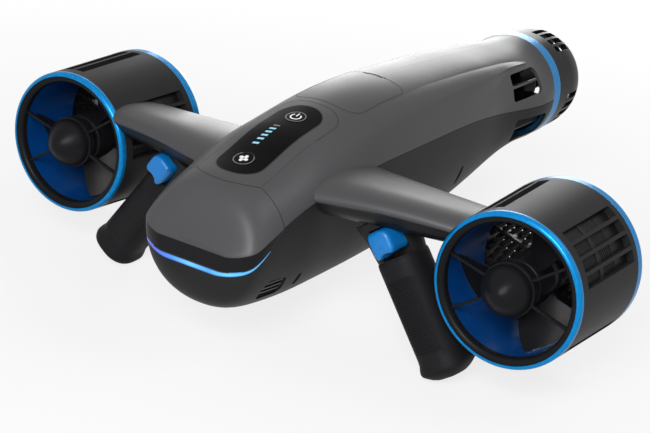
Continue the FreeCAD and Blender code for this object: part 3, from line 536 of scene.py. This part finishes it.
def stripFaces(count, closed):
    faces = []
    for k in range(count if closed else count - 1):
        a = 4 * k
        b = 4 * ((k + 1) % count)
        faces += [(a, b, b + 2, a + 2), (a + 2, b + 2, b + 3, a + 3),
                  (a + 3, b + 3, b + 1, a + 1), (a + 1, b + 1, b, a)]
    if not closed:
        last = 4 * (count - 1)
        faces += [(0, 2, 3, 1), (last, last + 1, last + 3, last + 2)]
    return faces


def join(parts):
    vertices = []
    faces = []
    for someVertices, someFaces in parts:
        start = len(vertices)
        vertices.extend(someVertices)
        faces.extend(tuple(start + k for k in face) for face in someFaces)
    return vertices, faces


def circle(radius, x, y, count=64, start=0.0, end=360.0):
    share = count if end - start == 360.0 else count - 1
    angles = [math.radians(start + (end - start) * k / share) for k in range(count)]
    return [(x + radius * math.cos(a), y + radius * math.sin(a)) for a in angles]


# Panel marks

def panelMarks():
    marks = {"modeY": -244.4, "powerY": -172.0, "ringInner": 8.1, "ringOuter": 8.95, "proud": 0.05,
             "sunk": 0.15, "arcRadius": 4.5, "arcWidth": 1.25, "arcGap": 42.0, "barLength": 5.2,
             "petals": [(-2.3, 1.0), (0.9, 2.5), (2.3, -0.9), (-0.9, -2.5)], "petalLong": 2.3,
             "petalWide": 1.5, "petalTurn": 35.0, "petalTip": 0.3, "petalCount": 20,
             "arcCount": 40, "barStart": 0.6, "barX": -4.5, "barWide": 5.6, "barDeep": 2.4,
             "barSlant": 1.0,
             "litY": [-222.0, -215.5, -210.0, -204.4, -198.8], "dimY": [-193.0]}
    mode = Surface("mode_button", "panel_glass")
    power = Surface("power_button", "panel_glass")
    glass = Surface("panel_glass", "mode_button", "power_button")
    proud = marks["proud"]
    sunk = marks["sunk"]
    for name, surface, y, body in (("mode_ring", mode, marks["modeY"], "mode_key"),
                                   ("power_ring", power, marks["powerY"], "power_key")):
        vertices, faces = layBand(surface, circle(marks["ringInner"], 0, y),
                                  circle(marks["ringOuter"], 0, y), True, proud, sunk)
        addPiece(name, vertices, faces, "button_cap", body, ringFinish)
    y = marks["powerY"]
    wide = marks["arcWidth"] / 2
    lines = [circle(marks["arcRadius"] + shift, 0, y, marks["arcCount"], 90 + marks["arcGap"],
                    450 - marks["arcGap"]) for shift in (-wide, wide)]
    arc = layBand(power, *lines, False, proud, sunk)
    low = y + marks["barStart"]
    high = low + marks["barLength"]
    bar = layPatch(power, [(-wide, low), (wide, low), (wide, high), (-wide, high)], proud, sunk)
    vertices, faces = join([arc, bar])
    addPiece("power_symbol", vertices, faces, "button_cap", "power_key", markFinish)
    petals = []
    for x, along in marks["petals"]:
        turn = math.atan2(along, x) + math.radians(marks["petalTurn"])
        outline = []
        for k in range(marks["petalCount"]):
            a = 2 * math.pi * k / marks["petalCount"]
            u = marks["petalLong"] * math.cos(a)
            v = marks["petalWide"] * math.sin(a) * (1.0 + marks["petalTip"] * math.cos(a))
            outline.append((x + u * math.cos(turn) - v * math.sin(turn),
                            marks["modeY"] + along + u * math.sin(turn) + v * math.cos(turn)))
        petals.append(layPatch(mode, outline, proud, sunk))
    vertices, faces = join(petals)
    addPiece("fan_symbol", vertices, faces, "button_cap", "mode_key", markFinish)
    for name, places, finish in (("charge_bars", marks["litY"], barFinish),
                                 ("charge_bar_off", marks["dimY"], dimFinish)):
        bars = []
        x = marks["barX"]
        wide = marks["barWide"] / 2
        deep = marks["barDeep"] / 2
        slant = marks["barSlant"] / 2
        for y in places:
            corners = [(x - wide, y - deep - slant), (x + wide, y - deep + slant),
                       (x + wide, y + deep + slant), (x - wide, y + deep - slant)]
            bars.append(layPatch(glass, corners, proud, sunk))
        vertices, faces = join(bars)
        addPiece(name, vertices, faces, "panel_glass", "root", finish)


panelMarks()
print("panel marked")


# Seams

def rimLines(name, seam):
    # chains of outer edge points of a node, each with its surface normal and its wall normal
    shape = bmesh.new()
    shape.from_mesh(nodes[name].data)
    bmesh.ops.remove_doubles(shape, verts=shape.verts, dist=seam["merge"] * mm)
    links = {}
    frames = {}
    for edge in shape.edges:
        if len(edge.link_faces) != 2 or edge.calc_face_angle() < math.radians(seam["sharp"]):
            continue
        spot = (edge.verts[0].co + edge.verts[1].co) / 2
        away = (spot - Vector((0, spot.y, seam["middle"] * mm))).normalized()
        outer, wall = sorted(edge.link_faces, key=lambda face: -face.normal.dot(away))
        if outer.normal.dot(away) < seam["facing"] or abs(wall.normal.dot(away)) > seam["facing"]:
            continue
        for vertex, other in (edge.verts, reversed(edge.verts)):
            links.setdefault(vertex.index, set()).add(other.index)
            frames.setdefault(vertex.index, []).append((outer.normal.copy(), wall.normal.copy()))
    points = {v.index: v.co.copy() for v in shape.verts}
    shape.free()
    chains = []
    left = set(links)
    while left:
        ends = [k for k in left if len(links[k] & left) <= 1]
        here = ends[0] if ends else next(iter(left))
        chain = [here]
        left.discard(here)
        while True:
            ahead = [k for k in links[here] if k in left]
            if not ahead:
                break
            here = ahead[0]
            chain.append(here)
            left.discard(here)
        closed = len(chain) > 2 and chain[0] in links[chain[-1]]
        length = sum((points[a] - points[b]).length for a, b in zip(chain, chain[1:]))
        if length < seam["shortest"] * mm:
            continue
        line = []
        for k in chain:
            up = sum((pair[0] for pair in frames[k]), Vector()).normalized()
            side = sum((pair[1] for pair in frames[k]), Vector()).normalized()
            line.append((points[k], up, side))
        chains.append((line, closed))
    return chains


def seams():
    # painted shade: dark strips along the gaps between the panels stand in for the shadow in the
    # seams
    seam = {"half": 0.5, "proud": 0.06, "sunk": 0.4, "gap": 0.2, "middle": 120.0,
            "nodes": ["nose_cap", "panel_bezel", "charge_lid"], "shortest": 60.0,
            "sharp": 50.0, "facing": 0.5, "merge": 0.001}
    for name in seam["nodes"]:
        parts = []
        for line, closed in rimLines(name, seam):
            vertices = []
            for point, up, side in line:
                side = (side - up * side.dot(up)).normalized()
                centre = point + side * seam["gap"] * mm
                for across in (-seam["half"], seam["half"]):
                    place = centre + side * across * mm
                    vertices.append(place + up * seam["proud"] * mm)
                    vertices.append(place - up * seam["sunk"] * mm)
            parts.append((vertices, stripFaces(len(line), closed)))
        vertices, faces = join(parts)
        body = "lid" if name == "charge_lid" else "root"
        addPiece(name + "_gasket", vertices, faces, "grip_rubber", body, seamShadeFinish)


seams()
print("seams laid")


# Hull shoulders

def between(table, y):
    # straight interpolation in rows of (y, value)
    for (first, low), (last, high) in zip(table, table[1:]):
        if y <= last:
            share = max(0.0, (y - first) / (last - first))
            return low + (high - low) * share
    return table[-1][1]


def shoulders():
    # long raised shoulder on each side of the spine, with a crisp upper edge; valley, ridge and
    # flank are rows of y and degrees from straight up, seen from centreZ
    form = {"centreZ": 120.0, "far": 150.0, "from": -172.0, "to": 197.0, "step": 4.5,
            "valley": [(-172, 37.5), (-120, 29.5), (-46, 26.5), (-20, 25.0), (18, 25.1),
                       (57, 25.6), (97, 26.5), (141, 27.0), (173, 28.9), (197, 31.2)],
            "ridge": [(-172, 49.0), (-144, 45.8), (-112, 42.7), (-78, 41.4), (-41, 39.7),
                      (-3, 38.6), (38, 37.6), (81, 36.2), (127, 34.8), (144, 33.6),
                      (197, 33.4)],
            "flank": [(-172, 60.0), (-112, 60.0), (-41, 58.0), (60, 54.0), (100, 48.0),
                      (125, 40.5), (142, 35.8), (197, 35.8)],
            "height": [(-172, 0.0), (-120, 1.0), (-60, 2.2), (20, 3.2), (110, 3.6), (165, 3.6),
                       (185, 2.6), (197, 0.0)],
            "inner": 7, "outer": 9, "fade": 1.8, "sunk": 0.5, "edge": 0.06, "crease": 22.0}
    skin = Surface("upper_hull")
    stations = int((form["to"] - form["from"]) / form["step"]) + 1
    columns = form["inner"] + form["outer"] + 1
    for name, side in sides:
        top = []
        bottom = []
        for row in range(stations):
            y = form["from"] + (form["to"] - form["from"]) * row / (stations - 1)
            valley, ridge, flank = (between(form[key], y) for key in ("valley", "ridge", "flank"))
            height = between(form["height"], y)
            for k in range(columns):
                if k <= form["inner"]:
                    share = k / form["inner"]
                    angle = valley + (ridge - valley) * share
                    lift = height * share
                else:
                    share = (k - form["inner"]) / form["outer"]
                    angle = ridge + (flank - ridge) * share
                    lift = height * (1.0 - share) ** form["fade"]
                a = math.radians(angle)
                away = Vector((side * math.sin(a), 0, math.cos(a)))
                start = Vector((0, y, form["centreZ"])) + away * form["far"]
                point, normal = skin.beside(start, -away)
                rim = k in (0, columns - 1) or row in (0, stations - 1)
                top.append(point + normal * (-form["edge"] if rim else lift) * mm)
                bottom.append(point - normal * form["sunk"] * mm)
        faces = []
        shift = len(top)
        for row in range(stations - 1):
            for k in range(columns - 1):
                a = row * columns + k
                b = a + columns
                faces.append((a, a + 1, b + 1, b))
                faces.append((shift + a, shift + b, shift + b + 1, shift + a + 1))
        border = (list(range(columns))
                  + [row * columns + columns - 1 for row in range(1, stations)]
                  + [(stations - 1) * columns + k for k in range(columns - 2, -1, -1)]
                  + [row * columns for row in range(stations - 2, 0, -1)])
        for a, b in zip(border, border[1:] + border[:1]):
            faces.append((a, b, shift + b, shift + a))
        addPiece(name + "_shoulder", top + bottom, faces, "gunmetal_shell", "root", None,
                 form["crease"])


shoulders()
print("shoulders made")


# Handles

handle = {"splay": 35.0, "x": 117.0, "y": -172.5, "z": 98.0}


def handlePoint(side, x, y, z):
    turn = math.radians(handle["splay"])
    across = handle["x"] + x * math.cos(turn) - z * math.sin(turn)
    upwards = handle["z"] + x * math.sin(turn) + z * math.cos(turn)
    return Vector((side * across, handle["y"] + y, upwards)) * mm


def roundedOval(width, depth, power, count):
    points = []
    for k in range(count):
        a = 2 * math.pi * k / count
        c = math.cos(a)
        s = math.sin(a)
        points.append((width / 2 * math.copysign(abs(c) ** (2 / power), c),
                       depth / 2 * math.copysign(abs(s) ** (2 / power), s)))
    return points


def grips():
    # ribbed sleeve with a flared, domed foot in one piece
    grip = {"count": 72, "power": 2.5, "width": 41.0, "depth": 45.0, "top": -3.0,
            "ribsFrom": -20.0, "ribsTo": -88.0, "pitch": 2.2, "ribHeight": 0.7,
            "bandHalf": 38.0, "bandFade": 4.0,
            "ribShape": [(0.0, 0.0), (0.25, 1.0), (0.6, 1.0), (0.85, 0.0)],
            "collar": [(0.0, 2.5), (1.5, 0.6), (4.0, 0.0), (16.0, 0.0)], "crease": 50.0,
            "foot": [(-90.0, 41.0, 45.0), (-94.0, 41.6, 45.6), (-98.0, 44.0, 48.0),
                     (-101.0, 45.0, 49.0), (-103.5, 43.5, 47.5), (-106.0, 38.0, 42.0),
                     (-108.5, 31.5, 35.0), (-110.5, 24.0, 26.0), (-111.5, 12.0, 13.0)]}
    levels = [(grip["top"] - drop, grip["width"] - narrow, grip["depth"] - narrow, 0.0)
              for drop, narrow in grip["collar"]]
    ribs = int((grip["ribsFrom"] - grip["ribsTo"]) / grip["pitch"])
    for k in range(ribs):
        for share, lift in grip["ribShape"]:
            z = grip["ribsFrom"] - (k + share) * grip["pitch"]
            levels.append((z, grip["width"], grip["depth"], lift * grip["ribHeight"]))
    levels += [(z, wide, deep, 0.0) for z, wide, deep in grip["foot"]]
    for name, side in sides:
        rings = []
        for z, wide, deep, lift in levels:
            ring = []
            for x, y in roundedOval(wide, deep, grip["power"], grip["count"]):
                angle = abs(math.degrees(math.atan2(x, -y)))
                share = max(0.0, min(1.0, (grip["bandHalf"] - angle) / grip["bandFade"]))
                reach = math.hypot(x, y)
                grow = 1.0 + lift * share / reach
                ring.append(handlePoint(side, x * grow, y * grow, z))
            rings.append(ring)
        vertices, faces = loft(rings)
        piece = addPiece(name + "_ribbed_grip", vertices, faces, "grip_rubber", "root", None,
                         grip["crease"])
        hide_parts(name + "_grip", name + "_grip_foot")


def triggers():
    # rounded blade with a finger hollow in its front
    blade = {"outline": [(-4, 20), (-1.5, 23.6), (4, 24.3), (9, 24.3), (14, 22.8), (17, 18.5),
                         (17.2, 12), (16.8, 6.5), (14, 3.4), (10.5, 3.6), (7, 3.9), (3.5, 2.8),
                         (0.4, 0.7), (-2.6, 1.5), (-4, 6), (-4.3, 14)],
             "count": 96, "layers": [(-35.0, 3.2), (-34.7, 2.2), (-34.0, 1.2), (-32.9, 0.5),
                                     (-31.4, 0.1), (-29.5, 0.0), (-20.0, 0.0), (-10.0, 0.0)],
             "hollow": 1.0, "crease": 50.0}
    for name, side in sides:
        outline = smoothClosed([(x, z, 0.0) for x, z in blade["outline"]], blade["count"])
        count = len(outline)
        area = sum(outline[k].cross(outline[(k + 1) % count]).z for k in range(count))
        rings = []
        for y, inset in blade["layers"]:
            ring = []
            for k, point in enumerate(outline):
                along = (outline[(k + 1) % count] - outline[k - 1]).normalized()
                inward = Vector((-along.y, along.x, 0.0)) * math.copysign(1.0, area)
                moved = point + inward * inset
                ring.append(handlePoint(side, moved.x, y, moved.y))
            rings.append(ring)
        vertices, faces = loft(rings)
        centre = len(vertices) - 2
        vertices[centre] = Vector(vertices[centre]) + Vector((0, blade["hollow"] * mm, 0))
        piece = addPiece(name + "_trigger_blade", vertices, faces, "blue_plastic",
                         name + "_lever", None, blade["crease"])
        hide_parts(name + "_trigger")


def parabola(places, values, x):
    # the parabola through three values
    low, middle, high = places
    a = (x - middle) * (x - high) / ((low - middle) * (low - high))
    b = (x - low) * (x - high) / ((middle - low) * (middle - high))
    c = (x - low) * (x - middle) / ((high - low) * (high - middle))
    return values[0] * a + values[1] * b + values[2] * c


def arms():
    # swept arm from hull to duct, with a neck above the grip and a slot for the trigger in it;
    # each section is a line of y and z at one of the stations x
    arm = {"x": [46.0, 110.0, 180.0],
           "sections": [[(-223, 133), (-226.5, 138.5), (-220, 146), (-200, 152), (-170, 154),
                         (-135, 149), (-114, 139), (-113, 130), (-128, 121), (-165, 117),
                         (-198, 119), (-214, 125)],
                        [(-210.5, 138), (-213.5, 143), (-208, 149), (-190, 152.5), (-165, 151),
                         (-138, 146.5), (-121, 140), (-120, 132), (-132, 124), (-165, 119),
                         (-190, 121), (-203, 128)],
                        [(-194, 135), (-197, 140), (-191, 146), (-176, 148.5), (-157, 147.5),
                         (-138, 144.5), (-124, 139), (-123.5, 131), (-134, 124), (-157, 120),
                         (-176, 122), (-187, 127)]],
           "count": 96, "startX": 43.0, "steps": 26, "endGuess": 175.0, "endTries": 12,
           "ductRadius": 64.5, "crease": 40.0, "neckPower": 2.5, "neckCount": 64,
           "neck": [(-5.0, 38.4, 42.4), (3.0, 40.4, 44.4), (10.0, 41.4, 45.4), (16.0, 42.4, 47.0),
                    (22.0, 44.0, 50.0), (27.0, 46.0, 53.0), (32.0, 47.0, 55.0)],
           "slot": {"x": (-5.2, 18.4), "y": (-45.0, -4.4), "z": (-2.6, 25.6)}}
    for name, side in sides:
        lines = [smoothClosed([(y, z, 0.0) for y, z in section], arm["count"])
                 for section in arm["sections"]]
        columns = []
        for corners in zip(*lines):
            end = arm["endGuess"]
            for attempt in range(arm["endTries"]):
                rise = parabola(arm["x"], corners, end).y - duct["z"]
                end = duct["x"] - math.sqrt(arm["ductRadius"] ** 2 - rise ** 2)
            column = []
            for step in range(arm["steps"] + 1):
                x = arm["startX"] + (end - arm["startX"]) * step / arm["steps"]
                point = parabola(arm["x"], corners, x)
                column.append(Vector((side * x, point.x, point.y)) * mm)
            columns.append(column)
        rings = [[column[step] for column in columns] for step in range(arm["steps"] + 1)]
        vertices, faces = loft(rings)
        wing = addPiece(name + "_swept_arm", vertices, faces, "gunmetal_shell", "root",
                        armShadeAndPaintFinish, arm["crease"])
        necks = [[handlePoint(side, x, y, z)
                  for x, y in roundedOval(wide, deep, arm["neckPower"], arm["neckCount"])]
                 for z, wide, deep in arm["neck"]]
        vertices, faces = loft(necks)
        neck = addPiece(name + "_neck", vertices, faces, "black_shell", "root")
        (left, right), (front, rear) = arm["slot"]["x"], arm["slot"]["y"]
        block = [[handlePoint(side, x, y, z)
                  for x, y in ((left, front), (right, front), (right, rear), (left, rear))]
                 for z in arm["slot"]["z"]]
        vertices, faces = loft(block)
        cutter = addPiece(name + "_slot", vertices, faces, "gunmetal_shell")
        cut(neck, cutter, arm["crease"])
        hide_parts(name + "_arm")


def cut(target, tool, crease):
    change = target.modifiers.new("change", "BOOLEAN")
    change.object = tool
    change.operation = "DIFFERENCE"
    change.solver = "EXACT"
    changed = target.evaluated_get(bpy.context.evaluated_depsgraph_get())
    made = bpy.data.meshes.new_from_object(changed)
    target.modifiers.clear()
    target.data = made
    made.set_sharp_from_angle(angle=math.radians(crease))
    bpy.data.objects.remove(tool)


grips()
triggers()
arms()
print("handles made")


# Ducts

def ductPoint(side, radius, turn, y):
    return Vector((side * duct["x"] + radius * math.cos(turn), y,
                   duct["z"] + radius * math.sin(turn))) * mm


def hubCaps():
    # blunt cone over each front hub
    cap = {"baseY": -196.0, "count": 72,
           "profile": [(21.6, 4.0), (21.6, 0.0), (21.2, -1.6), (19.5, -4.2), (16.5, -8.0),
                       (12.5, -12.2), (8.5, -15.4), (5.0, -17.4), (2.2, -18.3)]}
    turns = [2 * math.pi * k / cap["count"] for k in range(cap["count"])]
    for name, side in sides:
        vertices, faces = loft([[ductPoint(side, radius, turn, cap["baseY"] + y)
                                 for turn in turns] for radius, y in cap["profile"]])
        addPiece(name + "_hub_cap", vertices, faces, "black_plastic")


def ventShadeSleeves():
    # painted shade: a ribbed black sleeve closes the vents of each duct from inside, so that the
    # slots read dark
    shadeSleeve = {"outer": 61.2, "inner": 60.5, "from": -183.5, "to": -97.0, "pitch": 3.0,
              "rib": 0.4, "ribEnd": 0.5, "grooveStart": 0.6, "grooveEnd": 0.9, "count": 96}
    crest = shadeSleeve["outer"]
    groove = crest - shadeSleeve["rib"]
    pitch = shadeSleeve["pitch"]
    y = shadeSleeve["from"]
    profile = [(shadeSleeve["inner"], y)]
    while y < shadeSleeve["to"] - pitch:
        profile += [(crest, y), (crest, y + pitch * shadeSleeve["ribEnd"]),
                    (groove, y + pitch * shadeSleeve["grooveStart"]),
                    (groove, y + pitch * shadeSleeve["grooveEnd"])]
        y += pitch
    profile += [(crest, y), (shadeSleeve["inner"], y)]
    rows = len(profile)
    for name, side in sides:
        vertices = []
        faces = []
        for k in range(shadeSleeve["count"]):
            turn = 2 * math.pi * k / shadeSleeve["count"]
            vertices += [ductPoint(side, radius, turn, y) for radius, y in profile]
            here = k * rows
            after = (k + 1) % shadeSleeve["count"] * rows
            for row in range(rows):
                below = (row + 1) % rows
                faces.append((here + row, here + below, after + below, after + row))
        addPiece(name + "_vent_screen", vertices, faces, "black_plastic")


def shadeHoneycombs():
    # painted shade: a black honeycomb in the tail of each duct blocks the view through it, so that
    # its inside reads dark
    comb = {"cell": 7.6, "wall": 0.8, "from": -117.0, "to": -90.0, "inner": 22.5, "outer": 60.2,
            "wallTurns": (90.0, 210.0, 330.0), "halfWall": 30.0}
    rise = comb["cell"] * math.sqrt(3) / 2
    reach = comb["cell"] / math.sqrt(3)
    rows = int(comb["outer"] / rise) + 1
    for name, side in sides:
        parts = []
        for row in range(-rows, rows + 1):
            for column in range(-rows, rows + 1):
                middle = Vector(((column + (0.5 if row % 2 else 0.0)) * comb["cell"], row * rise))
                for turn in comb["wallTurns"]:
                    first, last = (middle + Vector((math.cos(a), math.sin(a))) * reach for a in (
                        math.radians(turn - comb["halfWall"]),
                        math.radians(turn + comb["halfWall"])))
                    if max(first.length, last.length) > comb["outer"]:
                        continue
                    if min(first.length, last.length) < comb["inner"]:
                        continue
                    along = (last - first).normalized()
                    across = Vector((-along.y, along.x)) * comb["wall"] / 2
                    corners = [first - across, last - across, last + across, first + across]
                    parts.append(loft([[Vector((side * duct["x"] + c.x, y, duct["z"] + c.y)) * mm
                                        for c in corners] for y in (comb["from"], comb["to"])]))
        vertices, faces = join(parts)
        addPiece(name + "_flow_straightener", vertices, faces, "black_plastic")


hubCaps()
ventShadeSleeves()
shadeHoneycombs()
print("duct pieces made")


# Camera and studio

def camera():
    view = {"place": (0.732189, -1.342362, 0.616616), "azimuth": 30.6, "elevation": 20.6,
            "roll": 6.8, "focalPixels": 1711.1, "imageWidth": 650, "sensor": 36.0,
            "nearest": 0.05, "farthest": 30.0}
    azimuth = math.radians(view["azimuth"])
    elevation = math.radians(view["elevation"])
    roll = math.radians(view["roll"])
    back = Vector((math.sin(azimuth) * math.cos(elevation),
                   -math.cos(azimuth) * math.cos(elevation), math.sin(elevation)))
    right = (-back).cross(Vector((0, 0, 1))).normalized()
    up = back.cross(right)
    turnedRight = math.cos(roll) * right + math.sin(roll) * up
    turnedUp = -math.sin(roll) * right + math.cos(roll) * up
    lens = bpy.data.cameras.new("camera")
    lens.sensor_width = view["sensor"]
    lens.lens = view["focalPixels"] / view["imageWidth"] * view["sensor"]
    lens.clip_start = view["nearest"]
    lens.clip_end = view["farthest"]
    shooter = bpy.data.objects.new("camera", lens)
    turn = Matrix((turnedRight, turnedUp, back)).transposed()
    shooter.matrix_world = Matrix.Translation(view["place"]) @ turn.to_4x4()
    bpy.context.scene.collection.objects.link(shooter)
    bpy.context.scene.camera = shooter


white = (1.0, 1.0, 1.0, 1.0)


def softbox(name, place, target, size, power):
    light = bpy.data.lights.new(name, "AREA")
    light.shape = "RECTANGLE"
    light.size = size
    light.size_y = size
    light.energy = power
    lamp = bpy.data.objects.new(name, light)
    lamp.location = place
    lamp.rotation_euler = (Vector(target) - Vector(place)).to_track_quat("-Z", "Y").to_euler()
    bpy.context.scene.collection.objects.link(lamp)


def studio():
    # each lamp has a name, a place, a size and a power
    look = {"middle": (0.0, -0.02, 0.1), "ambient": 0.2,
            "lamps": [("keyLight", (0.6, -1.7, 1.05), 0.9, 42.0),
                      ("sheenLight", (0.95, 0.25, 1.5), 0.7, 6.0),
                      ("backFill", (-0.9, 1.9, 0.6), 1.2, 22.0)]}
    for name, place, size, power in look["lamps"]:
        softbox(name, place, look["middle"], size, power)
    world = bpy.data.worlds.new("studio")
    bpy.context.scene.world = world
    world.use_nodes = True
    sky = Graph(world.node_tree)
    background = sky.tree.nodes["Background"]
    sky.feed(background.inputs["Color"], white)
    sky.feed(background.inputs["Strength"],
             sky.span(sky.seenRays(), 0.0, 1.0, look["ambient"], 1.0))


def floor():
    # pale floor that turns plain white away from the object and keeps its shadow near it
    look = {"side": 12.0, "nearRadius": 0.35, "farRadius": 1.0, "nearShare": 0.78,
            "dark": (0.70, 0.70, 0.70), "light": (0.73, 0.73, 0.73), "level": 0.1,
            "grain": (3.0, 2.0), "sheenLow": 0.6, "sheenHigh": 0.7}
    side = look["side"]
    mesh = bpy.data.meshes.new("studioFloor")
    corners = [(-side, -side, 0), (side, -side, 0), (side, side, 0), (-side, side, 0)]
    mesh.from_pydata(corners, [], [(0, 1, 2, 3)])
    ground = bpy.data.objects.new("studioFloor", mesh)
    bpy.context.scene.collection.objects.link(ground)
    pale = Finish("paleFloor", level=look["level"])
    grain = pale.noise(*look["grain"])
    pale.colour(pale.blend(grain, look["dark"], look["light"]))
    pale.roughness(pale.span(grain, noiseLow, noiseHigh, look["sheenLow"], look["sheenHigh"]))
    distance = pale.node("VectorMath", {"operation": "LENGTH"}, {0: pale.where}, out="Value")
    away = pale.span(distance, look["nearRadius"], look["farRadius"], look["nearShare"], 1.0)
    mix = pale.node("MixShader", inputs={0: away * pale.seenRays(),
                                         1: Socket(pale, pale.shader.outputs[0]),
                                         2: pale.node("Emission", inputs={"Color": white})})
    pale.feed(pale.tree.nodes["Material Output"].inputs["Surface"], mix)
    mesh.materials.append(pale.material)


camera()
studio()
floor()
bpy.context.scene.view_settings.view_transform = "Standard"
print("camera and studio set")
